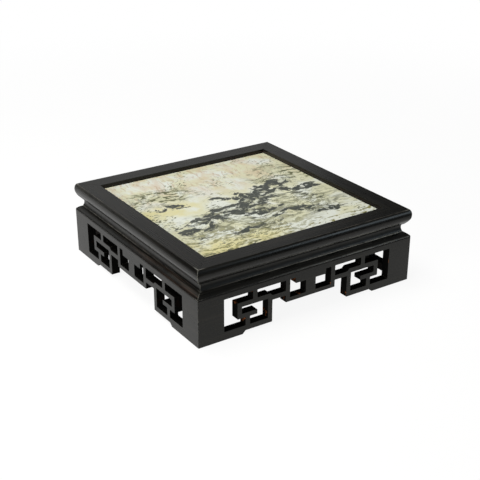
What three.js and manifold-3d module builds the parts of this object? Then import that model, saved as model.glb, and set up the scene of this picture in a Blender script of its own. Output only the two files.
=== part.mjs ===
// A square hardwood display stand with a marble slab let into its top.
//
// Four mitred rails hold the slab in a groove, with two battens under it. Below
// the rails come a waist moulding, a shoulder moulding and four pierced apron
// boards, whose ends are the legs. A slim post fills each corner from inside.
//
// Millimetres, +Z up, origin on the ground under the middle, front towards -Y.

import * as THREE from "three";
import { mergeVertices } from "three/addons/utils/BufferGeometryUtils.js";
import Module from "manifold-3d";

const wasm = await Module();
wasm.setup();

// Overall size and joints
const SIDE = 340; // across the outer faces of two opposite aprons
const JOINT = 0.3; // glue line between two neighbouring pieces
const MITRE_GAP = (JOINT / 2) * Math.SQRT2; // half a glue line, measured along a mitred piece
const ARC_STEPS = 10; // facets on a moulding's curve

// Apron boards, with their fretwork sawn out of the solid
const APRON_HEIGHT = 65.2;
const APRON_THICKNESS = 12.2;
const LEG_WIDTH = 37.3;
const BAR = 6.6; // width of a fret bar
const SAW_RADIUS = 0.7; // what a fretsaw leaves in a corner
const FOOT_STEP = 4.2; // the scroll hangs this far above the ground
const FOOT_LENGTH = 64.7;
const SILL = 7.1; // bar along the bottom of the scroll
const SCROLL_GAP = 19.6; // leg to scroll
const HOOK_INSET = 5.5; // spine of the scroll to its footing
const HOOK_REACH = 11; // free end of the hook past its footing
const HOOK_GAP = 16.4; // free end of the hook to the scroll's far side
const HOOK_LIFT = 11.5;
const HOOK_BAR = 6.2;
const SCROLL_ROOM = 9.8; // inside height over the hook
const UPPER_ROOM = 11.1; // over the scroll, under the top of the board
const BRIDGE_DROP = 3.5; // the bar from scroll to middle sits this much lower
const MIDDLE_DROP = 9.9; // how far the middle hangs below that bar
const MIDDLE_SILL = 5.6;
const MIDDLE_STILE = 15.6;
const TAB_WIDTH = 16.5;
const TAB_DROP = 7.9;
const MIDDLE_SLOT = 8.7;

// Tongue of the apron, in a groove under the shoulder moulding
const TONGUE_THICKNESS = 4;
const TONGUE_HEIGHT = 2.2;
const TONGUE_INSET = 7;
const TONGUE_END = 30; // the tongue stops this far from the corner

// Shoulder moulding
const SHOULDER_HEIGHT = 7.1;
const SHOULDER_FILLET = 1.1; // upright edge at the top of the slope
const SHOULDER_INSET = 8; // its upper arris, back from the apron's face
const SHOULDER_SWELL = 0.8; // how far the middle of the slope is drawn outwards
const SHOULDER_ROUND_HEIGHT = 2.6; // the slope rounds over into the apron's face
const SHOULDER_ROUND_DEPTH = 1.8;
const RING_DEPTH = 18; // back of the waist and shoulder from the apron's face

// Waist moulding
const WAIST_HEIGHT = 9.8;
const WAIST_INSET = 9.1; // its upper edge, back from the apron's face
const WAIST_FLARE = 0.8; // its lower edge stands out this much further
const WAIST_HOLLOW = 1; // depth of the cove

// Rails of the top frame
const RAIL_THICKNESS = 22;
const RAIL_WIDTH = 28;
const NOSE_HEIGHT = 13.8; // underside of the rail to the widest point of its nose
const NOSE_BELLY = 6; // height that the nose's lower curve is drawn towards
const NOSE_UNDERCUT = 7.2;
const NOSE_ROLL = 4.4; // half the width of the arc over the nose
const ARRIS_INSET = 2.8; // where the flat top cuts that arc off
const LEDGE_DROP = 3; // small step in the wall round the slab
const LEDGE_WIDTH = 0.8;

// Marble slab: its edge is rebated, and the tongue this leaves lies in a groove of the rails
const SLAB_RECESS = 5.8;
const SLAB_THICKNESS = 8;
const SLAB_REBATE = 3;
const GROOVE_DEPTH = 7;

// Tenons at the frame's corners
const TENON_WIDTH = 10;
const TENON_THICKNESS = 8;
const TENON_INSET = 9.5; // outer face of the frame to the tenon
const TENON_END = 5; // end of the tenon, back from the frame's outer face

// Battens under the slab
const BATTEN_WIDTH = 24;
const BATTEN_OFFSET = 60; // from the middle of the stand
const BATTEN_TENON_WIDTH = 16;
const BATTEN_TENON_THICKNESS = 4;
const BATTEN_TENON_LENGTH = 7;

// Corner posts
const POST_SIZE = 12;
const POST_LIFT = 6; // kept clear of the ground
const POST_TENON = 6;

// Bamboo pins from frame to shoulder
const PIN_RADIUS = 2;
const PIN_INSET = 14;
const PIN_OFFSET = 95;
const PIN_IN_FRAME = 6.7;
const PIN_IN_SHOULDER = 4.8;
const PIN_SIDES = 24;

// Heights of the layers above the ground
const HALF = SIDE / 2;
const SHOULDER_BOTTOM = APRON_HEIGHT + JOINT;
const SHOULDER_TOP = SHOULDER_BOTTOM + SHOULDER_HEIGHT;
const WAIST_BOTTOM = SHOULDER_TOP + JOINT;
const WAIST_TOP = WAIST_BOTTOM + WAIST_HEIGHT;
const RAIL_BOTTOM = WAIST_TOP + JOINT;
const RAIL_TOP = RAIL_BOTTOM + RAIL_THICKNESS;
const SLAB_TOP = RAIL_TOP - SLAB_RECESS;
const SLAB_BOTTOM = SLAB_TOP - SLAB_THICKNESS;
const TONGUE_TOP = SLAB_TOP - SLAB_REBATE;
const GROOVE_TOP = TONGUE_TOP + JOINT;
const GROOVE_BOTTOM = SLAB_BOTTOM - JOINT;
const BATTEN_TENON_BOTTOM = (RAIL_BOTTOM + GROOVE_BOTTOM - BATTEN_TENON_THICKNESS) / 2;
const BATTEN_TENON_TOP = BATTEN_TENON_BOTTOM + BATTEN_TENON_THICKNESS;

// Depths back from the aprons' faces
const POST_NEAR = APRON_THICKNESS + JOINT;
const POST_FAR = POST_NEAR + POST_SIZE;
const NECK_NEAR = RING_DEPTH + JOINT;

const blackWood = new THREE.MeshStandardMaterial({ color: 0x211e1c, roughness: 0.42, metalness: 0 });
const plainWood = new THREE.MeshStandardMaterial({ color: 0x3a2a20, roughness: 0.7, metalness: 0 });
const bamboo = new THREE.MeshStandardMaterial({ color: 0xa98a58, roughness: 0.6, metalness: 0 });
const marble = new THREE.MeshStandardMaterial({ color: 0xd2cfb4, roughness: 0.25, metalness: 0 });

// Solids: a geometry becomes a solid to be joined or cut, and a mesh again afterwards.
function solidOf(geometry) {
  const loose = geometry.index ? geometry.toNonIndexed() : geometry;
  const bare = new THREE.BufferGeometry();
  bare.setAttribute("position", loose.getAttribute("position"));
  const merged = mergeVertices(bare, 1e-4);
  return new wasm.Manifold(
    new wasm.Mesh({
      numProp: 3,
      vertProperties: new Float32Array(merged.attributes.position.array),
      triVerts: new Uint32Array(merged.index.array),
    }),
  );
}

function geometryOf(solid) {
  const { vertProperties, triVerts } = solid.getMesh();
  const geometry = new THREE.BufferGeometry();
  geometry.setAttribute("position", new THREE.BufferAttribute(vertProperties, 3));
  geometry.setIndex(new THREE.BufferAttribute(triVerts, 1));
  geometry.computeVertexNormals();
  return geometry;
}

function named(name, geometry, material) {
  const mesh = new THREE.Mesh(geometry, material);
  mesh.name = name;
  return mesh;
}

// A block between two opposite corners.
function block(x0, x1, y0, y1, z0, z1) {
  const geometry = new THREE.BoxGeometry(Math.abs(x1 - x0), Math.abs(y1 - y0), Math.abs(z1 - z0));
  return solidOf(geometry.translate((x0 + x1) / 2, (y0 + y1) / 2, (z0 + z1) / 2));
}

// An upright round pin or the hole for it.
function uprightPin(x, y, z0, z1, radius) {
  const geometry = new THREE.CylinderGeometry(radius, radius, z1 - z0, PIN_SIDES);
  return geometry.rotateX(Math.PI / 2).translate(x, y, (z0 + z1) / 2);
}

// A straight moulding of the front side, mitred at both ends. The profile's x is
// the distance back from the apron's face, and its y the height.
function mitredMoulding(profile) {
  const geometry = new THREE.ExtrudeGeometry(profile, {
    depth: 1,
    steps: 1,
    bevelEnabled: false,
    curveSegments: ARC_STEPS,
  });
  const position = geometry.attributes.position;
  for (let i = 0; i < position.count; i++) {
    const inward = position.getX(i);
    const height = position.getY(i);
    const end = 2 * position.getZ(i) - 1;
    position.setXYZ(i, end * (HALF - inward - MITRE_GAP), inward - HALF, height);
  }
  return geometry;
}

// Adds corners to a path, and rounds each one by the radius given with it.
function cornered(path, corners) {
  corners.forEach(([x, y, radius], i) => {
    const corner = new THREE.Vector2(x, y);
    if (!radius) {
      if (i === 0) path.moveTo(x, y);
      else path.lineTo(x, y);
      return;
    }
    const before = corners[(i + corners.length - 1) % corners.length];
    const after = corners[(i + 1) % corners.length];
    const towards = ([toX, toY]) => {
      const step = new THREE.Vector2(toX, toY).sub(corner);
      return step.setLength(Math.min(radius, step.length() / 2)).add(corner);
    };
    const start = towards(before);
    const end = towards(after);
    if (i === 0) path.moveTo(start.x, start.y);
    else path.lineTo(start.x, start.y);
    path.quadraticCurveTo(corner.x, corner.y, end.x, end.y);
  });
  path.closePath();
  return path;
}

// Rounds every corner of an opening as the saw does.
const sawn = (corners) => corners.map(([x, y]) => [x, y, SAW_RADIUS]);
const mirrored = (corners) => corners.map(([x, y, radius]) => [-x, y, radius]).reverse();

// Where the fretwork's bars lie: distances from the middle of the board, and heights.
const legInner = HALF - LEG_WIDTH;
const spineOuter = legInner - SCROLL_GAP;
const spineInner = spineOuter - BAR;
const footingOuter = spineInner - HOOK_INSET;
const footingInner = footingOuter - BAR;
const hookEnd = footingInner - HOOK_REACH;
const hangerOuter = hookEnd + BAR;
const farOuter = hookEnd - HOOK_GAP;
const farInner = farOuter - BAR;
const tabInner = MIDDLE_STILE / 2;
const tabOuter = tabInner + TAB_WIDTH;
const middleInner = tabOuter + MIDDLE_SLOT;
const middleOuter = middleInner + BAR;

const sillTop = FOOT_STEP + SILL;
const hookBottom = sillTop + HOOK_LIFT;
const hookTop = hookBottom + HOOK_BAR;
const scrollBottom = hookTop + SCROLL_ROOM;
const scrollTop = scrollBottom + BAR;
const openingTop = scrollTop + UPPER_ROOM;
const bridgeTop = scrollTop - BRIDGE_DROP;
const bridgeBottom = scrollBottom - BRIDGE_DROP;
const middleBottom = bridgeBottom - MIDDLE_DROP;
const middleSillTop = middleBottom + MIDDLE_SILL;
const tabBottom = openingTop - TAB_DROP;

// The four openings of the right half of a board.
const besideLeg = sawn([
  [legInner, openingTop],
  [hangerOuter, openingTop],
  [hangerOuter, scrollTop],
  [spineOuter, scrollTop],
  [spineOuter, hookBottom],
  [footingOuter, hookBottom],
  [footingOuter, sillTop],
  [legInner, sillTop],
]);
const overBridge = sawn([
  [hookEnd, openingTop],
  [middleOuter, openingTop],
  [middleOuter, bridgeTop],
  [farInner, bridgeTop],
  [farInner + BRIDGE_DROP, scrollTop],
  [hookEnd, scrollTop],
]);
const roundHook = sawn([
  [spineInner, scrollBottom],
  [farOuter, scrollBottom],
  [farOuter, sillTop],
  [footingInner, sillTop],
  [footingInner, hookBottom],
  [hookEnd, hookBottom],
  [hookEnd, hookTop],
  [spineInner, hookTop],
]);
const inMiddle = sawn([
  [middleInner, openingTop],
  [tabOuter, openingTop],
  [tabOuter, tabBottom],
  [tabInner, tabBottom],
  [tabInner, middleSillTop],
  [middleInner, middleSillTop],
]);

// A board's lower edge, from the middle out to the foot.
const lowerEdge = [
  [middleOuter, middleBottom, SAW_RADIUS],
  [middleOuter, bridgeBottom, SAW_RADIUS],
  [farInner, bridgeBottom, SAW_RADIUS],
  [farInner, FOOT_STEP, SAW_RADIUS],
  [HALF - FOOT_LENGTH - FOOT_STEP, FOOT_STEP, SAW_RADIUS],
  [HALF - FOOT_LENGTH, 0, 0],
  [HALF, 0, 0],
];

// An apron board of the front side: legs, fretwork and the tongue on its upper edge.
function apronBoard() {
  const outline = new THREE.Shape();
  const upperEdge = [
    [HALF, APRON_HEIGHT, 0],
    [-HALF, APRON_HEIGHT, 0],
  ];
  cornered(outline, [...mirrored(lowerEdge), ...lowerEdge, ...upperEdge]);
  for (const opening of [besideLeg, overBridge, roundHook, inMiddle]) {
    outline.holes.push(cornered(new THREE.Path(), opening));
    outline.holes.push(cornered(new THREE.Path(), mirrored(opening)));
  }
  const geometry = new THREE.ExtrudeGeometry(outline, {
    depth: APRON_THICKNESS,
    bevelEnabled: false,
    curveSegments: 2,
  });
  geometry.rotateX(Math.PI / 2).translate(0, APRON_THICKNESS - HALF, 0);
  const position = geometry.attributes.position;
  for (let i = 0; i < position.count; i++) {
    if (Math.abs(position.getX(i)) < HALF - JOINT) continue;
    const inward = position.getY(i) + HALF;
    position.setX(i, Math.sign(position.getX(i)) * (HALF - inward - MITRE_GAP));
  }
  const tongueEnd = HALF - TONGUE_END;
  const tongueFace = TONGUE_INSET - HALF;
  const tongue = block(
    -tongueEnd,
    tongueEnd,
    tongueFace,
    tongueFace + TONGUE_THICKNESS,
    APRON_HEIGHT - TONGUE_HEIGHT,
    APRON_HEIGHT + TONGUE_HEIGHT,
  );
  return geometryOf(solidOf(geometry).add(tongue));
}

// The shoulder moulding: a slightly swelled slope from the apron's face up to a narrow upright edge.
function shoulderMoulding() {
  const slopeTop = SHOULDER_TOP - SHOULDER_FILLET;
  const slopeFoot = SHOULDER_BOTTOM + SHOULDER_ROUND_HEIGHT;
  const profile = new THREE.Shape();
  profile.moveTo(RING_DEPTH, SHOULDER_BOTTOM);
  profile.lineTo(RING_DEPTH, SHOULDER_TOP);
  profile.lineTo(SHOULDER_INSET, SHOULDER_TOP);
  profile.lineTo(SHOULDER_INSET, slopeTop);
  profile.quadraticCurveTo(
    (SHOULDER_INSET + SHOULDER_ROUND_DEPTH) / 2 - SHOULDER_SWELL / 2,
    (slopeTop + slopeFoot) / 2 + SHOULDER_SWELL,
    SHOULDER_ROUND_DEPTH,
    slopeFoot,
  );
  profile.quadraticCurveTo(0, SHOULDER_BOTTOM + SHOULDER_ROUND_HEIGHT / 2, 0, SHOULDER_BOTTOM);
  profile.closePath();
  const grooveEnd = HALF - TONGUE_END + JOINT;
  const groove = block(
    -grooveEnd,
    grooveEnd,
    TONGUE_INSET - JOINT - HALF,
    TONGUE_INSET + TONGUE_THICKNESS + JOINT - HALF,
    SHOULDER_BOTTOM - JOINT,
    APRON_HEIGHT + TONGUE_HEIGHT + JOINT,
  );
  let solid = solidOf(mitredMoulding(profile)).subtract(groove);
  for (const side of [-1, 1]) {
    const hole = uprightPin(
      side * PIN_OFFSET,
      PIN_INSET - HALF,
      SHOULDER_TOP - PIN_IN_SHOULDER - JOINT,
      SHOULDER_TOP + JOINT,
      PIN_RADIUS + JOINT,
    );
    solid = solid.subtract(solidOf(hole));
  }
  return geometryOf(solid);
}

// The waist: a shallow cove that flares out to the shoulder.
function waistMoulding() {
  const foot = WAIST_INSET - WAIST_FLARE;
  const profile = new THREE.Shape();
  profile.moveTo(RING_DEPTH, WAIST_BOTTOM);
  profile.lineTo(RING_DEPTH, WAIST_TOP);
  profile.lineTo(WAIST_INSET, WAIST_TOP);
  profile.quadraticCurveTo(
    (WAIST_INSET + foot) / 2 + 2 * WAIST_HOLLOW,
    (WAIST_BOTTOM + WAIST_TOP) / 2,
    foot,
    WAIST_BOTTOM,
  );
  profile.closePath();
  let solid = solidOf(mitredMoulding(profile));
  for (const side of [-1, 1]) {
    const hole = uprightPin(
      side * PIN_OFFSET,
      PIN_INSET - HALF,
      WAIST_BOTTOM - JOINT,
      WAIST_TOP + JOINT,
      PIN_RADIUS + JOINT,
    );
    solid = solid.subtract(solidOf(hole));
  }
  return geometryOf(solid);
}

// The rail's section: flat top, rounded nose, and the groove for the slab.
function railProfile() {
  const noseHeight = RAIL_BOTTOM + NOSE_HEIGHT;
  const topAngle = Math.acos(1 - ARRIS_INSET / NOSE_ROLL);
  const rollHeight = (RAIL_TOP - noseHeight) / Math.sin(topAngle);
  const wall = RAIL_WIDTH + LEDGE_WIDTH;
  const profile = new THREE.Shape();
  profile.moveTo(RAIL_WIDTH, RAIL_BOTTOM);
  profile.lineTo(RAIL_WIDTH, GROOVE_BOTTOM);
  profile.lineTo(RAIL_WIDTH - GROOVE_DEPTH, GROOVE_BOTTOM);
  profile.lineTo(RAIL_WIDTH - GROOVE_DEPTH, GROOVE_TOP);
  profile.lineTo(wall, GROOVE_TOP);
  profile.lineTo(wall, RAIL_TOP - LEDGE_DROP);
  profile.lineTo(RAIL_WIDTH, RAIL_TOP - LEDGE_DROP);
  profile.lineTo(RAIL_WIDTH, RAIL_TOP);
  const outwards = Math.PI;
  profile.absellipse(NOSE_ROLL, noseHeight, NOSE_ROLL, rollHeight, outwards - topAngle, outwards, false);
  profile.quadraticCurveTo(0, RAIL_BOTTOM + NOSE_BELLY, NOSE_UNDERCUT, RAIL_BOTTOM);
  profile.closePath();
  return profile;
}

// A rail of the top frame. Rails with tenons stand at front and back, the ones
// with mortises at left and right.
function frameRail(hasTenons) {
  let solid = solidOf(mitredMoulding(railProfile()));
  const tenonBottom = RAIL_BOTTOM + (RAIL_THICKNESS - TENON_THICKNESS) / 2;
  const tenonTop = tenonBottom + TENON_THICKNESS;
  for (const side of [-1, 1]) {
    if (hasTenons) {
      const tenon = block(
        side * (HALF - RAIL_WIDTH - GROOVE_DEPTH),
        side * (HALF - TENON_END),
        TENON_INSET - HALF,
        TENON_INSET + TENON_WIDTH - HALF,
        tenonBottom,
        tenonTop,
      );
      const battenMortise = block(
        side * BATTEN_OFFSET - BATTEN_TENON_WIDTH / 2 - JOINT,
        side * BATTEN_OFFSET + BATTEN_TENON_WIDTH / 2 + JOINT,
        RAIL_WIDTH - BATTEN_TENON_LENGTH - JOINT - HALF,
        RAIL_WIDTH + LEDGE_WIDTH - HALF,
        BATTEN_TENON_BOTTOM - JOINT,
        BATTEN_TENON_TOP + JOINT,
      );
      solid = solid.add(tenon).subtract(battenMortise);
    } else {
      const mortise = block(
        side * (HALF - TENON_INSET + JOINT),
        side * (HALF - TENON_INSET - TENON_WIDTH - JOINT),
        TENON_END - JOINT - HALF,
        RAIL_WIDTH - HALF,
        tenonBottom - JOINT,
        tenonTop + JOINT,
      );
      solid = solid.subtract(mortise);
    }
    const postMortise = block(
      side * (HALF - POST_FAR - JOINT),
      side * (HALF - NECK_NEAR + JOINT),
      NECK_NEAR - JOINT - HALF,
      POST_FAR + JOINT - HALF,
      RAIL_BOTTOM - JOINT,
      RAIL_BOTTOM + POST_TENON + JOINT,
    );
    const pinHole = uprightPin(
      side * PIN_OFFSET,
      PIN_INSET - HALF,
      RAIL_BOTTOM - JOINT,
      RAIL_BOTTOM + PIN_IN_FRAME + JOINT,
      PIN_RADIUS + JOINT,
    );
    solid = solid.subtract(postMortise).subtract(solidOf(pinHole));
  }
  return geometryOf(solid);
}

// A batten under the slab, running from the front rail to the back one.
function batten(x) {
  const reach = HALF - RAIL_WIDTH - JOINT;
  const tenonReach = reach + BATTEN_TENON_LENGTH;
  const body = block(x - BATTEN_WIDTH / 2, x + BATTEN_WIDTH / 2, -reach, reach, RAIL_BOTTOM, GROOVE_BOTTOM);
  const tenons = block(
    x - BATTEN_TENON_WIDTH / 2,
    x + BATTEN_TENON_WIDTH / 2,
    -tenonReach,
    tenonReach,
    BATTEN_TENON_BOTTOM,
    BATTEN_TENON_TOP,
  );
  return geometryOf(body.add(tenons));
}

// The post in the front left corner, behind both legs, with its tenon in the frame.
function cornerPost() {
  const near = POST_NEAR - HALF;
  const far = POST_FAR - HALF;
  const neckNear = NECK_NEAR - HALF;
  const body = block(near, far, near, far, POST_LIFT, APRON_HEIGHT);
  const neck = block(neckNear, far, neckNear, far, POST_LIFT, RAIL_BOTTOM + POST_TENON);
  return geometryOf(body.add(neck));
}

// The slab: a raised field between the rails' walls, on a wider tongue.
function slab() {
  const reach = HALF - RAIL_WIDTH + GROOVE_DEPTH - JOINT;
  const field = HALF - RAIL_WIDTH - LEDGE_WIDTH - JOINT;
  const tongue = block(-reach, reach, -reach, reach, SLAB_BOTTOM, TONGUE_TOP);
  return geometryOf(tongue.add(block(-field, field, -field, field, SLAB_BOTTOM, SLAB_TOP)));
}

// The stand: one turned group a side, then what lies in the middle.
const stand = new THREE.Group();
const sides = ["front", "right", "back", "left"];
const corners = ["front_left", "front_right", "back_right", "back_left"];

sides.forEach((side, turn) => {
  const group = new THREE.Group();
  group.rotation.z = (turn * Math.PI) / 2;
  group.add(named(`frame_rail_${side}`, frameRail(turn % 2 === 0), blackWood));
  group.add(named(`waist_${side}`, waistMoulding(), blackWood));
  group.add(named(`shoulder_${side}`, shoulderMoulding(), blackWood));
  group.add(named(`apron_${side}`, apronBoard(), blackWood));
  group.add(named(`corner_post_${corners[turn]}`, cornerPost(), plainWood));
  for (const [end, x] of [["a", -PIN_OFFSET], ["b", PIN_OFFSET]]) {
    const pin = uprightPin(
      x,
      PIN_INSET - HALF,
      SHOULDER_TOP - PIN_IN_SHOULDER,
      RAIL_BOTTOM + PIN_IN_FRAME,
      PIN_RADIUS,
    );
    group.add(named(`frame_pin_${side}_${end}`, pin, bamboo));
  }
  stand.add(group);
});

stand.add(named("stone_panel", slab(), marble));
stand.add(named("panel_batten_left", batten(-BATTEN_OFFSET), plainWood));
stand.add(named("panel_batten_right", batten(BATTEN_OFFSET), plainWood));

export default stand;
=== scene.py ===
import math

import bmesh
import bpy
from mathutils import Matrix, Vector


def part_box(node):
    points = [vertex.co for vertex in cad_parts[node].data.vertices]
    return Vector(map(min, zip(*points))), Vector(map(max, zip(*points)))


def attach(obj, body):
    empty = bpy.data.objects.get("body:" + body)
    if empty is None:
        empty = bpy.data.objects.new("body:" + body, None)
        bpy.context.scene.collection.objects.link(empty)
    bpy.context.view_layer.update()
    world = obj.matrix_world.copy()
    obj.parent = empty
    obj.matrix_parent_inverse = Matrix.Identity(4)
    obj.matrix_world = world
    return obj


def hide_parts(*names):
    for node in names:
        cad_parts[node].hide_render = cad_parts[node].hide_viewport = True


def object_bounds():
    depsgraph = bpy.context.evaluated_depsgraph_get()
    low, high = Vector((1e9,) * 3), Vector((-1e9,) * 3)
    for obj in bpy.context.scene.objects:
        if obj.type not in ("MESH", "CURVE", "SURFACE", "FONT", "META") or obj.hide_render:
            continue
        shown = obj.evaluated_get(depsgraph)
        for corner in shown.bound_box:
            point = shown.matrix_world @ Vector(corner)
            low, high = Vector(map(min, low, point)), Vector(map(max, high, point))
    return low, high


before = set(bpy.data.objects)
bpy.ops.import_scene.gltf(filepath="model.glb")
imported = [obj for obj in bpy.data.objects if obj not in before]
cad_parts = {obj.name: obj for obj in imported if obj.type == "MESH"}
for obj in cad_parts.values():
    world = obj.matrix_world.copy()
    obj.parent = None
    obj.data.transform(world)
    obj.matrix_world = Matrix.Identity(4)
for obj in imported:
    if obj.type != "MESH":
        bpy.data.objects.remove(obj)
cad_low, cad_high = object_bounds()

# The camera stands off the front left corner, a little above the stand, with a long
# lens. Its place, its turn and its lens come from the photograph's perspective.
CAMERA_PLACE = (-0.6955, -1.0486, 0.6159)
CAMERA_TILT = math.radians(65.318)
CAMERA_TURN = math.radians(-33.689)
CAMERA_ROLL = math.radians(0.122)
LENS = 73.115
SENSOR = 36

camera = bpy.data.objects.new("camera", bpy.data.cameras.new("camera"))
camera.data.lens = LENS
camera.data.sensor_width = SENSOR
camera.location = CAMERA_PLACE
camera.rotation_euler = (CAMERA_TILT, 0, CAMERA_TURN)
camera.rotation_euler.rotate_axis("Z", CAMERA_ROLL)
bpy.context.scene.collection.objects.link(camera)
bpy.context.scene.camera = camera
bpy.context.scene.view_settings.view_transform = "Standard"


# The light is soft and comes from overhead, with a broad lamp low on the left and a
# cool window low at the front right, which only skims the mouldings.
LIT_POINT = Vector((0, 0, 0.08))
LAMP_WHITE = (1.0, 0.99, 0.96)
WINDOW_BLUE = (0.72, 0.86, 1.0)


def softbox(name, place, width, height, watts, colour):
    """A rectangular lamp turned towards the stand."""
    lamp = bpy.data.lights.new(name, "AREA")
    lamp.shape = "RECTANGLE"
    lamp.size = width
    lamp.size_y = height
    lamp.energy = watts
    lamp.color = colour
    held = bpy.data.objects.new(name, lamp)
    held.location = place
    held.rotation_euler = (LIT_POINT - Vector(place)).to_track_quat("-Z", "Y").to_euler()
    bpy.context.scene.collection.objects.link(held)


softbox("top_softbox", (-0.45, 0.25, 1.9), 1.2, 1.2, 32, LAMP_WHITE)
softbox("left_softbox", (-1.9, -0.5, 0.55), 1.0, 0.7, 24, LAMP_WHITE)
softbox("window", (1.35, -1.75, 0.36), 0.6, 0.46, 5.5, WINDOW_BLUE)


class Shade:
    """What a node gives out. Arithmetic on it adds Math nodes, and node() adds any other node."""

    def __init__(self, tree, socket=None):
        self.tree = tree
        self.socket = socket

    def node(self, kind, settings=None, inputs=None, gives=0):
        """Adds a node, with its settings first and then the values or links of its sockets."""
        made = self.tree.nodes.new(kind)
        for name, value in (settings or {}).items():
            setattr(made, name, value)
        for name, value in (inputs or {}).items():
            if isinstance(value, Shade):
                self.tree.links.new(value.socket, made.inputs[name])
            else:
                made.inputs[name].default_value = value
        return Shade(self.tree, made.outputs[gives] if made.outputs else None)

    def place(self):
        """Where a point lies on the stand."""
        return self.node("ShaderNodeTexCoord", gives="Object")

    def along(self, axis):
        """How far a place lies along one axis."""
        return self.node("ShaderNodeSeparateXYZ", inputs={"Vector": self}, gives=axis.upper())

    def math(self, operation, *terms):
        return self.node("ShaderNodeMath", {"operation": operation}, dict(enumerate(terms)))

    def __add__(self, other):
        return self.math("ADD", self, other)

    def __radd__(self, other):
        return self.math("ADD", other, self)

    def __sub__(self, other):
        return self.math("SUBTRACT", self, other)

    def __rsub__(self, other):
        return self.math("SUBTRACT", other, self)

    def __mul__(self, other):
        return self.math("MULTIPLY", self, other)

    def __rmul__(self, other):
        return self.math("MULTIPLY", other, self)

    def __truediv__(self, other):
        return self.math("DIVIDE", self, other)

    def __abs__(self):
        return self.math("ABSOLUTE", self)

    def or_more(self, other):
        """The larger of the two at each point."""
        return self.math("MAXIMUM", self, other)

    def or_less(self, other):
        """The smaller of the two at each point."""
        return self.math("MINIMUM", self, other)

    def step(self, start, end):
        """Runs smoothly from 0 where this is at start to 1 where it is at end."""
        sockets = {"Value": self, "From Min": start, "From Max": end}
        return self.node("ShaderNodeMapRange", {"interpolation_type": "SMOOTHSTEP"}, sockets)

    def blend(self, below, above):
        """Mixes two colours, with this as the share of the second."""
        return self.node("ShaderNodeMix", {"data_type": "RGBA"}, {0: self, 6: below, 7: above}, 2)


ROOM_LIGHT = (0.045, 0.048, 0.05, 1)
ROOM_REFLECTED = (0.22, 0.225, 0.23, 1)

world = bpy.data.worlds.new("room")
world.use_nodes = True
world.node_tree.nodes.clear()
paint = Shade(world.node_tree)
shown = paint.node("ShaderNodeLightPath", gives="Is Glossy Ray").blend(ROOM_LIGHT, ROOM_REFLECTED)
surface = paint.node("ShaderNodeBackground", inputs={"Color": shown})
paint.node("ShaderNodeOutputWorld", inputs={"Surface": surface})
bpy.context.scene.world = world


# The table top is a wide white sweep that curves up far behind the stand on every
# side, so that it is the background of every view. Near the stand it takes its shadow.
def new_material(name):
    """An empty material, and the Shade its nodes are added with."""
    material = bpy.data.materials.new(name)
    material.use_nodes = True
    material.node_tree.nodes.clear()
    return material, Shade(material.node_tree)


def alone(piece):
    """Makes a piece the only one that an operator acts on."""
    bpy.ops.object.select_all(action="DESELECT")
    piece.select_set(True)
    bpy.context.view_layer.objects.active = piece


TABLE_RADIUS = 9
TABLE_SIDES = 96
SWEEP_RADIUS = 3
SWEEP_STEPS = 12
SWEEP_END = math.radians(75)
SWEEP_SMOOTH = math.radians(30)
SHADOW_NEAR = 0.5
SHADOW_FAR = 1.6
TABLE_WHITE = (0.8, 0.8, 0.8, 1)
SHADOW_SHARE = 0.11
GLOW_LOST = 0.85
WHITE = (1, 1, 1, 1)
NO_LIGHT = (0, 0, 0, 1)

bpy.ops.object.select_all(action="DESELECT")
bpy.ops.mesh.primitive_circle_add(vertices=TABLE_SIDES, radius=TABLE_RADIUS, fill_type="NGON")
table = bpy.context.object
table.name = "table_top"
bpy.ops.object.mode_set(mode="EDIT")
bpy.ops.mesh.select_mode(type="EDGE")
bpy.ops.mesh.select_all(action="SELECT")
reach = TABLE_RADIUS
height = 0
for step in range(1, SWEEP_STEPS + 1):
    angle = SWEEP_END * step / SWEEP_STEPS
    next_reach = TABLE_RADIUS + SWEEP_RADIUS * math.sin(angle)
    next_height = SWEEP_RADIUS * (1 - math.cos(angle))
    bpy.ops.mesh.extrude_edges_move(TRANSFORM_OT_translate={"value": (0, 0, next_height - height)})
    growth = next_reach / reach
    bpy.ops.transform.resize(value=(growth, growth, 1), center_override=(0, 0, next_height))
    reach, height = next_reach, next_height
bpy.ops.object.mode_set(mode="OBJECT")
bpy.ops.object.shade_smooth_by_angle(angle=SWEEP_SMOOTH)

material, paint = new_material("white_table_top")
seen = paint.node("ShaderNodeLightPath", gives="Is Camera Ray")
for kind in ("Glossy", "Transmission"):
    seen = seen.or_more(paint.node("ShaderNodeLightPath", gives=f"Is {kind} Ray"))
distance = paint.node("ShaderNodeVectorMath", {"operation": "LENGTH"}, {0: paint.place()}, "Value")
near = 1 - distance.step(SHADOW_NEAR, SHADOW_FAR)
shadow_colour = (near * SHADOW_SHARE).blend(NO_LIGHT, WHITE)
shadowed = paint.node("ShaderNodeBsdfDiffuse", inputs={"Color": shadow_colour})
glow_colour = (near * SHADOW_SHARE * GLOW_LOST).blend(WHITE, NO_LIGHT)
glow = paint.node("ShaderNodeEmission", inputs={"Color": glow_colour})
shown = paint.node("ShaderNodeAddShader", inputs={0: shadowed, 1: glow})
lit = paint.node("ShaderNodeBsdfDiffuse", inputs={"Color": TABLE_WHITE})
surface = paint.node("ShaderNodeMixShader", inputs={0: seen, 1: lit, 2: shown})
paint.node("ShaderNodeOutputMaterial", inputs={"Surface": surface})
table.data.materials.append(material)


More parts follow.
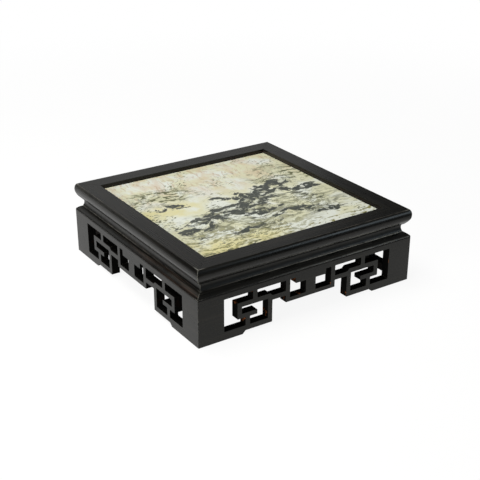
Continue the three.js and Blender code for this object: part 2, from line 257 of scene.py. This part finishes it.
# Cards stand and lie outside the picture: a grey one behind, dark ones at the right and
# in front, and dim, dark and white ones at the left. The lacquer shows them as bands.
# They show only in reflections: the grey, dim and white ones glow though they are no
# lamps, as painted reflections.
def sheet(name, middle, width, height, tilt, turn, material):
    """A flat sheet that lies on the table, or stands up where its tilt is 90 degrees."""
    turned = (math.radians(tilt), 0, math.radians(turn))
    bpy.ops.mesh.primitive_plane_add(size=1, location=middle, rotation=turned)
    made = bpy.context.object
    made.name = name
    made.scale = (width, height, 1)
    made.data.materials.append(material)
    return made


def even(name, shader, level):
    """A card of one tone all over."""
    material, paint = new_material(name)
    surface = paint.node(shader, inputs={"Color": (level, level, level, 1)})
    paint.node("ShaderNodeOutputMaterial", inputs={"Surface": surface})
    return material


grey = even("grey_card", "ShaderNodeEmission", 0.52)
dim = even("dim_card", "ShaderNodeEmission", 0.32)
white = even("white_card", "ShaderNodeEmission", 1.0)
dark = even("dark_card", "ShaderNodeBsdfDiffuse", 0.02)
for card in (
    sheet("card_behind", (2.0, 4, 1.25), 3.0, 2.5, 90, 0, grey),
    sheet("card_right", (3.0, 1.2, 1.0), 3.7, 1.8, 90, -77.5, dark),
    sheet("card_front", (1.6, -3.4, 0.6), 5.0, 1.2, 90, 20, dark),
    sheet("card_front_table", (1.0, -1.72, 0.002), 3.4, 2.8, 0, 0, dark),
    sheet("card_left", (-1.08, 3.27, 0.34), 1.8, 0.68, 90, 35, dim),
    sheet("card_left_high", (-1.08, 3.27, 1.24), 1.8, 1.12, 90, 35, white),
    sheet("card_left_front", (-2.8, 2.07, 0.9), 2.4, 1.8, 90, 35, dark),
    sheet("card_left_table", (-1.94, 1.1, 0.002), 3.0, 4.0, 0, 0, dim),
):
    card.visible_camera = False
    card.visible_diffuse = False
    card.visible_shadow = False


# The four rails of the top frame: hardwood, planed to a rounded nose, mitred and
# tenoned, then blackened and rubbed to a satin lacquer whose arrises wear first.
# Lighter bands along the nose and arrises are painted highlight, and the darker ones
# beside the real joints painted shade.
MILLIMETRE = 0.001
HALF = cad_high.x
RAIL_TOP = cad_high.z
EASED = 0.35 * MILLIMETRE
EASED_STEPS = 2
MITRE_REACH = 0.4 * MILLIMETRE
SAME_POINT = 0.01 * MILLIMETRE
FLAT_WITHIN = math.radians(0.5)
ARRIS_FROM = math.radians(18)
ROUND_WITHIN = math.radians(32)
SIDES = {"front": (0, -1), "right": (1, 0), "back": (0, 1), "left": (-1, 0)}


def tone(red, green, blue):
    """A colour as it looks on a screen, 0 to 255, as the shader's own numbers."""
    return tuple(((part / 255 + 0.055) / 1.055) ** 2.4 for part in (red, green, blue)) + (1,)


def inward(point):
    """How far a point lies in from the outer faces of the stand."""
    return HALF - max(abs(point.x), abs(point.y))


def on_mitre(point):
    return abs(abs(point.x) - abs(point.y)) < MITRE_REACH


def finished(name, node, width, shows, materials):
    """A copy of a CAD node whose visible arrises are eased. It stands for that node.

    The first of the materials covers the piece, and the second its eased arrises.
    """
    piece = bpy.data.objects.new(name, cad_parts[node].data.copy())
    bpy.context.scene.collection.objects.link(piece)
    piece.data.materials.clear()
    for material in materials:
        piece.data.materials.append(material)
    alone(piece)
    bpy.ops.mesh.customdata_custom_splitnormals_clear()
    bpy.ops.object.mode_set(mode="EDIT")
    bpy.ops.mesh.select_mode(type="EDGE")
    bpy.ops.mesh.select_all(action="SELECT")
    bpy.ops.mesh.remove_doubles(threshold=SAME_POINT)
    bpy.ops.mesh.dissolve_limited(angle_limit=FLAT_WITHIN)
    bpy.ops.mesh.select_all(action="DESELECT")
    mesh = bmesh.from_edit_mesh(piece.data)
    picked = 0
    for edge in mesh.edges:
        start, end = (corner.co for corner in edge.verts)
        sharp = len(edge.link_faces) == 2 and edge.calc_face_angle() > ARRIS_FROM
        if sharp and shows((start + end) / 2, on_mitre(start) and on_mitre(end)):
            edge.select_set(True)
            picked += 1
    bmesh.update_edit_mesh(piece.data)
    if picked:
        bpy.ops.mesh.bevel(
            offset=width,
            segments=EASED_STEPS,
            affect="EDGES",
            clamp_overlap=True,
            material=1,
        )
    bpy.ops.object.mode_set(mode="OBJECT")
    bpy.ops.object.shade_smooth_by_angle(angle=ROUND_WITHIN)
    flat = piece.modifiers.new("flat_faces", "WEIGHTED_NORMAL")
    flat.keep_sharp = True
    bpy.ops.object.modifier_apply(modifier=flat.name)
    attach(piece, "root")
    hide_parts(node)
    return piece


STREAKS = (260, 9, 6)
PORES = (1500, 55, 3)


def grain(paint, along, shift, fine=1):
    """Noise drawn out along a board: its broad streaks and its fine pores, each 0 to 1.

    shift moves the noise, so that no two boards are alike. fine makes the pores finer.
    """
    fields = []
    for (across, lengthwise, detail), finer in ((STREAKS, 1), (PORES, fine)):
        stretch = [across * finer] * 3
        stretch["xyz".index(along)] = lengthwise
        moved = (shift, shift * 1.7, shift * 2.3)
        spread = {"Vector": paint.place(), "Location": moved, "Scale": stretch}
        where = paint.node("ShaderNodeMapping", inputs=spread)
        sockets = {"Vector": where, "Scale": 1, "Detail": detail, "Roughness": 0.6}
        fields.append(paint.node("ShaderNodeTexNoise", inputs=sockets))
    return fields


BLACK = tone(14, 14, 12)
BLACK_WARM = tone(28, 26, 22)
SAPWOOD = tone(78, 58, 47)
# The rubbed and worn tones are partly wear and partly painted highlight.
RUBBED_AND_HIGHLIGHT = tone(64, 58, 52)
WORN_AND_HIGHLIGHT = tone(138, 136, 128)
WOOD_GLOSS = 0.24
WOOD_SHEEN = (1, 0.99, 0.93, 1)
# The dust tone is a matt dark for the joints and for painted shade.
DUST_AND_SHADE = tone(10, 9, 8)
RELIEF = 0.05 * MILLIMETRE
BRIGHTER_FROM = -220 * MILLIMETRE
BRIGHTER_FULL = 100 * MILLIMETRE
SAPWOOD_FULL = -150 * MILLIMETRE
SAPWOOD_GONE = 60 * MILLIMETRE


def finish_wood(paint, colour, roughness, gloss, height, relief, joints_and_shade=None):
    """Closes a wood material: its surface, its pores as relief, and matt dust and painted shade."""
    bump = {"Strength": 0.5, "Distance": relief, "Height": height}
    surface = {
        "Base Color": colour,
        "Roughness": roughness,
        "Specular IOR Level": gloss,
        "Specular Tint": WOOD_SHEEN,
        "Normal": paint.node("ShaderNodeBump", inputs=bump),
    }
    surface = paint.node("ShaderNodeBsdfPrincipled", inputs=surface)
    if joints_and_shade:
        dust_and_shade = paint.node("ShaderNodeBsdfDiffuse", inputs={"Color": DUST_AND_SHADE})
        surface = paint.node("ShaderNodeMixShader", inputs={0: joints_and_shade, 1: surface, 2: dust_and_shade})
    paint.node("ShaderNodeOutputMaterial", inputs={"Surface": surface})


def worn_and_lit(paint, along):
    """Rises to the front's right end and the sides' back end: partly wear, partly painted highlight.
    """
    return paint.place().along(along).step(BRIGHTER_FROM, BRIGHTER_FULL)


def band(low, high, share, fade=0.3, ends=()):
    """A band along a piece, from low to high over the ground, all in millimetres.

    Its edges fade over the length of fade. ends say where along the piece it starts and
    where it is full, and without them it is full all along.
    """
    return low, high, share, fade, ends


def laid(paint, along, bands):
    """The share of the strongest of the bands at each point."""
    height = paint.place().along("z") / MILLIMETRE
    strongest = None
    for low, high, share, fade, ends in bands:
        above = height.step(low - fade, low + fade)
        below = 1 - height.step(high - fade, high + fade)
        shown = above * below * share
        if ends:
            shown = shown * (paint.place().along(along) / MILLIMETRE).step(*ends)
        strongest = shown if strongest is None else strongest.or_more(shown)
    return strongest


def lacquered(name, along, shift, sapwood=0, highlight_bands=(), joints_and_shade=(), dull=0):
    """Blackened hardwood, rubbed to a satin: streaks show where the stain took less.

    Bands along the piece lighten it, as painted highlight broken up like wear, or darken
    it to matt, as dark joints that hold lacquer and dust, and as painted shade.
    """
    material, paint = new_material(name)
    streaks, pores = grain(paint, along, shift)
    smudged = {"Vector": paint.place(), "Scale": 22, "Detail": 4}
    smudges = paint.node("ShaderNodeTexNoise", inputs=smudged)
    colour = streaks.step(0.47, 0.68).blend(BLACK, BLACK_WARM)
    if sapwood:
        towards_front = 1 - paint.place().along("y").step(SAPWOOD_FULL, SAPWOOD_GONE)
        colour = (streaks.step(0.42, 0.62) * towards_front * sapwood).blend(colour, SAPWOOD)
    if highlight_bands:
        colour = (laid(paint, along, highlight_bands) * smudges.step(0.25, 0.55)).blend(colour, WORN_AND_HIGHLIGHT)
    dust_and_shade = laid(paint, along, joints_and_shade) if joints_and_shade else None
    roughness = 0.13 + dull + 0.1 * streaks + 0.14 * smudges + 0.05 * pores
    finish_wood(paint, colour, roughness, WOOD_GLOSS, pores + streaks, RELIEF, dust_and_shade)
    return material


CORNER_WORN_FROM = HALF - 16 * MILLIMETRE
CORNER_WORN_FULL = HALF - 4 * MILLIMETRE


def rubbed(name, along, shift, share=0.1, joints_and_shade=()):
    """The same lacquer on an arris: worn at the corners, and lighter along it as painted highlight.
    """
    material, paint = new_material(name)
    streaks, pores = grain(paint, along, shift)
    to_corner = abs(paint.place().along("x")).or_less(abs(paint.place().along("y")))
    corner = to_corner.step(CORNER_WORN_FROM, CORNER_WORN_FULL)
    scuffed = {"Vector": paint.place(), "Scale": 60, "Detail": 5}
    wear = paint.node("ShaderNodeTexNoise", inputs=scuffed)
    wear_and_highlight = worn_and_lit(paint, along)
    colour = (wear.step(0.35, 0.6) * corner.or_more(wear_and_highlight)).blend(BLACK, RUBBED_AND_HIGHLIGHT)
    colour = (wear.step(0.25, 0.5) * corner.or_more(wear_and_highlight * share)).blend(colour, WORN_AND_HIGHLIGHT)
    dust_and_shade = laid(paint, along, joints_and_shade) if joints_and_shade else None
    finish_wood(paint, colour, 0.22 + 0.15 * pores, WOOD_GLOSS, streaks, 0.6 * RELIEF, dust_and_shade)
    return material


LEDGE_DARK = tone(28, 20, 17)
LEDGE_BROWN = tone(64, 42, 33)


def bare(name, along, shift):
    """Red-brown wood at the foot of the wall round the slab, where no brush reached."""
    material, paint = new_material(name)
    streaks, pores = grain(paint, along, shift)
    colour = streaks.step(0.35, 0.65).blend(LEDGE_DARK, LEDGE_BROWN)
    finish_wood(paint, colour, 0.6 + 0.2 * pores, 0.3, pores, RELIEF)
    return material


WALL_INWARD = 27.9 * MILLIMETRE
NOSE_INWARD = 9 * MILLIMETRE
LEDGE = RAIL_TOP - 3 * MILLIMETRE
LEDGE_REACH = 0.2 * MILLIMETRE
LEVEL = 0.5
# Lighter bands along the nose are painted highlight, broken up like wear.
NOSE_HIGHLIGHTS = {
    "front": [band(86, 89.4, 0.42, ends=(-220, 100))],
    "left": [band(100, 104.4, 0.05, 0.5, (-20, 130))],
}
# Matt dark bands along the nose: the one under the front nose is its dark joint, the left's lowest
# is that joint and painted shade, and the rest are painted shade.
NOSE_JOINTS_AND_SHADE = {
    "front": [band(82, 85, 1), band(91, 97.5, 0.27, 1.5, (-260, 120))],
    "left": [
        band(82, 90, 0.65, 0.4, (-260, 110)),
        band(94, 104, 0.2, 1.5, (0, -130)),
        band(97.5, 104, 0.35, 1, (0, -130)),
        band(99.5, 104, 0.58, 1, (0, -130)),
    ],
}


def like(side):
    """The side whose finish a side has: the right is as the left, the back as the front."""
    return "left" if side in ("left", "right") else "front"


def rail_arris(point, mitre):
    """The edges of the nose, its corner, the flat top's edge and the ledge round the slab."""
    depth = inward(point)
    over_slab = depth > WALL_INWARD and point.z > LEDGE - LEDGE_REACH
    return depth < NOSE_INWARD or (over_slab and not mitre)


for turn, side in enumerate(SIDES):
    along = "xy"[turn % 2]
    highlight_bands, joints_and_shade = NOSE_HIGHLIGHTS[like(side)], NOSE_JOINTS_AND_SHADE[like(side)]
    wood = [
        lacquered(f"lacquer_rail_{side}", along, 3.1 + turn, highlight_bands=highlight_bands, joints_and_shade=joints_and_shade),
        rubbed(f"rubbed_rail_{side}", along, 5.3 + turn),
        bare(f"bare_ledge_{side}", along, 7.7 + turn),
    ]
    rail = finished(
        f"lacquered_rail_{side}",
        f"frame_rail_{side}",
        EASED,
        rail_arris,
        wood,
    )
    for face in rail.data.polygons:
        on_ledge = abs(face.center.z - LEDGE) < LEDGE_REACH and face.normal.z > LEVEL
        if on_ledge and inward(face.center) > WALL_INWARD:
            face.material_index = 2


# The waist under the frame and the shoulder under the waist: two thinner mouldings of
# the same wood, run with a plane, mitred at the corners and pinned to the frame.
MOULDING_INWARD = 10 * MILLIMETRE
FILLET = 1.3 * MILLIMETRE
FILLET_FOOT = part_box("shoulder_front")[1].z - FILLET
UPRIGHT = 0.3
# Lighter bands on the shoulder are painted highlight.
SHOULDER_HIGHLIGHTS = {
    "front": [band(65.6, 67.4, 0.42, ends=(-160, 120)), band(69.9, 71.4, 0.06, 0.4)],
    "left": [band(68.8, 71, 0.06, 0.5, (60, -100))],
}
# Matt dark bands on the shoulder: its joint over the apron, and on the left painted shade above it,
# deepest near the front corner.
SHOULDER_JOINTS_AND_SHADE = {
    "front": [band(65, 65.8, 0.8)],
    "left": [band(65, 67.4, 0.3), band(65, 68.2, 0.6, 0.5, (100, -130))],
}
# The waist's top band is its dark joint; its other dark bands are painted shade in the hollow, and
# its faint light band is painted highlight.
WAIST_JOINT = band(82.2, 83, 0.8)
WAIST_HIGHLIGHTS = {"front": [band(78.2, 80.8, 0.03, 0.5)], "left": []}
WAIST_JOINTS_AND_SHADE = {
    "front": [WAIST_JOINT, band(74.4, 76.4, 0.45, 0.6, (-200, 60))],
    "left": [WAIST_JOINT, band(72, 75.2, 0.75, 0.5, (-20, -130))],
}
WAIST_DULL = {"front": 0.12, "left": 0}
# The fillet's front arris takes the lighter tone in full as painted highlight; on the left a dark
# band near the front corner is painted shade.
FILLET_WEAR_AND_HIGHLIGHT = {"front": 1, "left": 0.2}
FILLET_SHADE = {"front": [], "left": [band(71.3, 73, 0.6, ends=(60, -130))]}
SAPWOOD_SHARE = 0.6


def moulding_arris(point, mitre):
    """The corner of a moulding, and the upright edge at the top of the slope."""
    return inward(point) < MOULDING_INWARD and (mitre or point.z > FILLET_FOOT)


for turn, side in enumerate(SIDES):
    along = "xy"[turn % 2]
    kind = like(side)
    waist = {"highlight_bands": WAIST_HIGHLIGHTS[kind], "joints_and_shade": WAIST_JOINTS_AND_SHADE[kind], "dull": WAIST_DULL[kind]}
    shoulder = {"highlight_bands": SHOULDER_HIGHLIGHTS[kind], "joints_and_shade": SHOULDER_JOINTS_AND_SHADE[kind]}
    if side == "left":
        shoulder["sapwood"] = SAPWOOD_SHARE
    fillet = (FILLET_WEAR_AND_HIGHLIGHT[kind], FILLET_SHADE[kind])
    for layer, shift, lacquer in (("waist", 11.9, waist), ("shoulder", 17.3, shoulder)):
        wood = [
            lacquered(f"lacquer_{layer}_{side}", along, shift + turn, **lacquer),
            rubbed(f"rubbed_{layer}_{side}", along, shift + turn, *fillet),
        ]
        moulding = finished(
            f"lacquered_{layer}_{side}",
            f"{layer}_{side}",
            EASED,
            moulding_arris,
            wood,
        )
        for face in moulding.data.polygons:
            upright = layer == "shoulder" and abs(face.normal.z) < UPRIGHT
            if upright and face.center.z > FILLET_FOOT and inward(face.center) < MOULDING_INWARD:
                face.material_index = 1


# The pierced aprons: boards with a key fret sawn out of them, their ends left whole as
# legs. Faces are lacquered; the saw cuts only took stain, and stay matt and darker.
TONGUE = 2.2 * MILLIMETRE
APRON_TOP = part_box("apron_front")[1].z - TONGUE
APRON_EASED = 0.8 * EASED
JOINT_PLAY = 0.3 * MILLIMETRE
SQUARE_ON = 0.9
EDGE_ON = 0.1
SAWN_RELIEF = 0.08 * MILLIMETRE
STAINED_RELIEF = 0.06 * MILLIMETRE
APRON_JOINT = {"front": [band(63.8, 65.4, 0.6)], "left": [band(63.8, 65.4, 0.3)]}
# The red-brown of the sawn faces is bare wood made bright as painted glints, shown on the front,
# right and back and hardly on the left.
SAWN_BLACK = tone(8, 7, 6)
SAWN_BROWN_GLINT = tone(132, 76, 42)
STAINED = tone(26, 20, 17)
BARE_AND_GLINT_SHARE = {"front": 1, "right": 1, "back": 1, "left": 0.02}


def sawn(name, shift, bare_and_glint_share):
    """A saw cut across the board: matt, near black, with bare red-brown wood as painted glints."""
    material, paint = new_material(name)
    spread = {"Vector": paint.place(), "Location": (shift, shift, shift)}
    moved = paint.node("ShaderNodeMapping", inputs=spread)
    patches = paint.node("ShaderNodeTexNoise", inputs={"Vector": moved, "Scale": 70, "Detail": 3})
    teeth = paint.node("ShaderNodeTexNoise", inputs={"Vector": moved, "Scale": 1400, "Detail": 2})
    colour = (patches.step(0.63, 0.69) * bare_and_glint_share).blend(SAWN_BLACK, SAWN_BROWN_GLINT)
    finish_wood(paint, colour, 0.75 + 0.15 * teeth, 0.03, teeth, SAWN_RELIEF)
    return material


def inside(name, along, shift):
    """The back of a board, stained but never lacquered."""
    material, paint = new_material(name)
    streaks, pores = grain(paint, along, shift)
    colour = streaks.step(0.4, 0.75).blend(SAWN_BLACK, STAINED)
    finish_wood(paint, colour, 0.7 + 0.2 * pores, 0.05, pores + streaks, STAINED_RELIEF)
    return material


def apron_arris(point, mitre):
    """Both faces of the board, and its outer corner, which is the stand's own arris."""
    return point.z < APRON_TOP + JOINT_PLAY and (not mitre or inward(point) < EASED)


for turn, (side, outward) in enumerate(SIDES.items()):
    along = "xy"[turn % 2]
    wood = [
        lacquered(f"lacquer_apron_{side}", along, 23.7 + turn, joints_and_shade=APRON_JOINT[like(side)]),
        rubbed(f"rubbed_apron_{side}", along, 29.1 + turn),
        sawn(f"sawn_apron_{side}", 31.7 + turn, BARE_AND_GLINT_SHARE[side]),
        inside(f"inside_apron_{side}", along, 33.3 + turn),
    ]
    apron = finished(
        f"lacquered_apron_{side}",
        f"apron_{side}",
        APRON_EASED,
        apron_arris,
        wood,
    )
    for face in apron.data.polygons:
        faces_out = face.normal.x * outward[0] + face.normal.y * outward[1]
        cut = abs(faces_out) < EDGE_ON and face.center.z < APRON_TOP - MILLIMETRE
        if faces_out < -SQUARE_ON:
            face.material_index = 3
        elif cut and face.material_index == 0:
            face.material_index = 2


# The corner posts behind the legs and the battens under the slab: planed hardwood
# with one coat of black stain, never lacquered, as they don't show.
PLANED_DARK = tone(20, 16, 13)
PLANED_LIGHT = tone(40, 30, 23)
PLANED_RELIEF = 0.08 * MILLIMETRE


def planed(name, along, shift):
    """Plain hardwood as the plane left it, stained but never lacquered."""
    material, paint = new_material(name)
    streaks, pores = grain(paint, along, shift)
    colour = streaks.step(0.3, 0.7).blend(PLANED_DARK, PLANED_LIGHT)
    finish_wood(paint, colour, 0.6 + 0.2 * pores, 0.3, pores + streaks, PLANED_RELIEF)
    return material


for turn, corner in enumerate(("front_left", "front_right", "back_right", "back_left")):
    wood = [planed(f"planed_post_{corner}", "z", 37.9 + turn)]
    finished(
        f"planed_post_{corner}",
        f"corner_post_{corner}",
        EASED,
        lambda point, mitre: point.z < APRON_TOP,
        wood * 2,
    )
for turn, side in enumerate(("left", "right")):
    wood = [planed(f"planed_batten_{side}", "y", 41.3 + turn)]
    finished(
        f"planed_batten_{side}",
        f"panel_batten_{side}",
        EASED,
        lambda point, mitre: inward(point) > WALL_INWARD,
        wood * 2,
    )


# The pins between frame, waist and shoulder: split bamboo, turned round and driven
# dry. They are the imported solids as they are, with their fibres along the pin.
BAMBOO_DARK = tone(138, 108, 66)
BAMBOO_LIGHT = tone(190, 160, 108)

material, paint = new_material("bamboo_pin")
streaks, pores = grain(paint, "z", 43.1, 2)
colour = streaks.step(0.35, 0.65).blend(BAMBOO_DARK, BAMBOO_LIGHT)
finish_wood(paint, colour, 0.45 + 0.25 * pores, 0.4, pores, RELIEF)
for side in SIDES:
    for end in "ab":
        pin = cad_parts[f"frame_pin_{side}_{end}"]
        pin.data.materials.clear()
        pin.data.materials.append(material)


# The slab: pale marble, sawn, rebated and polished. Slate clouds climb across a cream
# ground, with grey-green flecks and fine veins before them and a tan blush behind.
CREAM = tone(225, 224, 192)
MILK = tone(232, 236, 226)
CLOUDED = tone(186, 187, 152)
TAN = tone(212, 184, 150)
TAN_DARK = tone(184, 150, 112)
OCHRE = tone(226, 216, 150)
MOSS = tone(100, 102, 64)
OLIVE = tone(140, 136, 84)
FLECK = tone(138, 138, 108)
FLECK_DARK = tone(70, 74, 58)
SLATE = tone(55, 60, 54)
SLATE_PALE = tone(84, 89, 78)
STONE_GLOSS = 0.4
STONE_RELIEF = 0.03 * MILLIMETRE
SLAB_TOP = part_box("stone_panel")[1].z

# Each cloud is an oval, in millimetres: its middle, and its reach across and back.
SLATE_CLOUDS = (
    (-56, -36, 44, 11),
    (-8, -20, 38, 15),
    (36, 4, 46, 17),
    (74, 26, 28, 9),
    (-108, -56, 26, 8),
    (112, -10, 24, 8),
    (46, -72, 32, 9),
    (-46, -88, 22, 6),
    (94, -94, 24, 7),
    (-92, 26, 22, 6),
    (6, -48, 26, 6),
)

material, paint = new_material("polished_marble")


def vectors(operation, sockets):
    return paint.node("ShaderNodeVectorMath", {"operation": operation}, sockets)


flowing = paint.place()
for scale, reach in ((16, 30 * MILLIMETRE), (75, 8 * MILLIMETRE)):
    sockets = {"Vector": flowing, "Scale": scale, "Detail": 5}
    eddies = paint.node("ShaderNodeTexNoise", inputs=sockets, gives="Color")
    pushed = vectors("SUBTRACT", {0: eddies, 1: (0.5, 0.5, 0.5)})
    pushed = vectors("SCALE", {0: pushed, "Scale": reach})
    flowing = vectors("ADD", {0: flowing, 1: pushed})
x = flowing.along("x")
y = flowing.along("y")


def oval(centre_x, centre_y, reach_x, reach_y):
    """Nought in the middle of an oval, in millimetres, and one on its rim."""
    over_x = (x - centre_x * MILLIMETRE) / (reach_x * MILLIMETRE)
    over_y = (y - centre_y * MILLIMETRE) / (reach_y * MILLIMETRE)
    return over_x * over_x + over_y * over_y


def within(*place_and_reach):
    """One inside an oval, fading to nought a little beyond its rim."""
    return 1 - oval(*place_and_reach).step(0.4, 1.5)


def noise(scale, detail, stretch=(1, 1, 1), shift=0, roughness=0.6):
    spread = {"Vector": flowing, "Location": (shift, shift, shift), "Scale": stretch}
    where = paint.node("ShaderNodeMapping", inputs=spread)
    sockets = {"Vector": where, "Scale": scale, "Detail": detail, "Roughness": roughness}
    return paint.node("ShaderNodeTexNoise", inputs=sockets)


def strata(scale, bend, start, end, shift=0):
    """Lines that run across the slab and bend with the stone."""
    spread = {"Vector": flowing, "Location": (shift, shift, shift)}
    where = paint.node("ShaderNodeMapping", inputs=spread)
    sockets = {"Vector": where, "Scale": scale, "Distortion": bend, "Detail": 8}
    sockets.update({"Detail Scale": 0.8, "Detail Roughness": 0.68})
    lines = paint.node("ShaderNodeTexWave", {"bands_direction": "Y"}, sockets, "Fac")
    return lines.step(start, end)


def veins(scale, shift):
    """Thin lines that wander across the slab, where a noise crosses its middle."""
    return 1 - abs(noise(scale, 4, (0.55, 1.5, 1), shift) - 0.5).step(0.002, 0.012)


ragged = noise(70, 5, (0.8, 1.2, 1), roughness=0.62)
behind = y.step(0.0, 0.10)
ochre = within(-104, 14, 50, 22).or_more(within(-96, -120, 84, 30))
front_left = within(-70, -104, 120, 46)
centre = within(10, -52, 130, 50)
flanks = within(-92, 66, 62, 30).or_more(within(104, 50, 50, 44))
front = 1 - y.step(-0.13, -0.04)
clumps = noise(24, 5, shift=29).step(0.46, 0.53)
veined = centre.or_more(flanks)
layers = (
    (noise(20, 7).step(0.42, 0.58), MILK),
    (behind * noise(28, 8, (1.5, 0.6, 1), 3).step(0.47, 0.62) * 0.5, TAN),
    (behind * noise(150, 4, (1.5, 0.3, 1), 4).step(0.54, 0.62) * 0.5, TAN_DARK),
    (ochre * noise(30, 7, shift=5).step(0.36, 0.58) * 0.7, OCHRE),
    (veined * noise(40, 5, (0.8, 1.4, 1), 1).step(0.48, 0.55) * 0.5, CLOUDED),
    # A pale band along the front right of the slab is painted highlight.
    (within(76, -132, 88, 12) * 0.8, MILK),
    (front * strata(30, 9, 0.7, 0.9, 6) * noise(60, 4, shift=7).step(0.46, 0.54), OLIVE),
    (flanks * strata(24, 12, 0.8, 0.9, 8) * noise(50, 4, shift=9).step(0.46, 0.54), MOSS),
    (flanks * noise(110, 4, (0.7, 1.4, 1), 21).step(0.54, 0.57) * clumps, MOSS),
    (front_left * noise(130, 4, (0.6, 1.5, 1), 13).step(0.51, 0.57) * 0.8, OLIVE),
    (front_left * noise(150, 4, (0.6, 1.5, 1), 23).step(0.57, 0.6) * clumps, FLECK_DARK),
    (centre * noise(90, 5, (0.6, 1.6, 1), 25).step(0.505, 0.565) * 0.85, FLECK),
    (centre * noise(120, 5, (0.6, 1.6, 1), 27).step(0.535, 0.575) * clumps, FLECK_DARK),
    (veined * veins(30, 31) * noise(46, 4, shift=33).step(0.46, 0.54) * 0.75, FLECK_DARK),
    (veined * veins(52, 35) * noise(38, 4, shift=37).step(0.48, 0.56) * 0.6, MOSS),
    (noise(260, 3, (0.6, 1.4, 1), 16).step(0.56, 0.6) * noise(26, 5, shift=18).step(0.5, 0.6), MOSS),
)
colour = CREAM
for share, tint in layers:
    colour = share.blend(colour, tint)
nearest = None
for values in SLATE_CLOUDS:
    rim = oval(*values)
    nearest = rim if nearest is None else nearest.or_less(rim)
slate = 1 - (nearest + (ragged - 0.5) * 12).step(0.8, 1.15)
slate = slate * (1 - noise(130, 4, (0.6, 1.4, 1), 19).step(0.58, 0.62) * 0.7)
mottled = (noise(170, 5, (0.7, 1.4, 1), 39).step(0.46, 0.62) * 0.6).blend(SLATE, SLATE_PALE)
colour = slate.blend(colour, mottled)
polish = 0.26 + 0.12 * noise(55, 4, shift=15)
bump = {"Strength": 0.3, "Distance": STONE_RELIEF, "Height": ragged}
surface = {
    "Base Color": colour,
    "Roughness": polish,
    "Specular IOR Level": STONE_GLOSS,
    "Normal": paint.node("ShaderNodeBump", inputs=bump),
}
surface = paint.node("ShaderNodeBsdfPrincipled", inputs=surface)
paint.node("ShaderNodeOutputMaterial", inputs={"Surface": surface})
finished(
    "polished_stone_panel",
    "stone_panel",
    EASED,
    lambda point, mitre: point.z > SLAB_TOP - MILLIMETRE,
    [material, material],
)
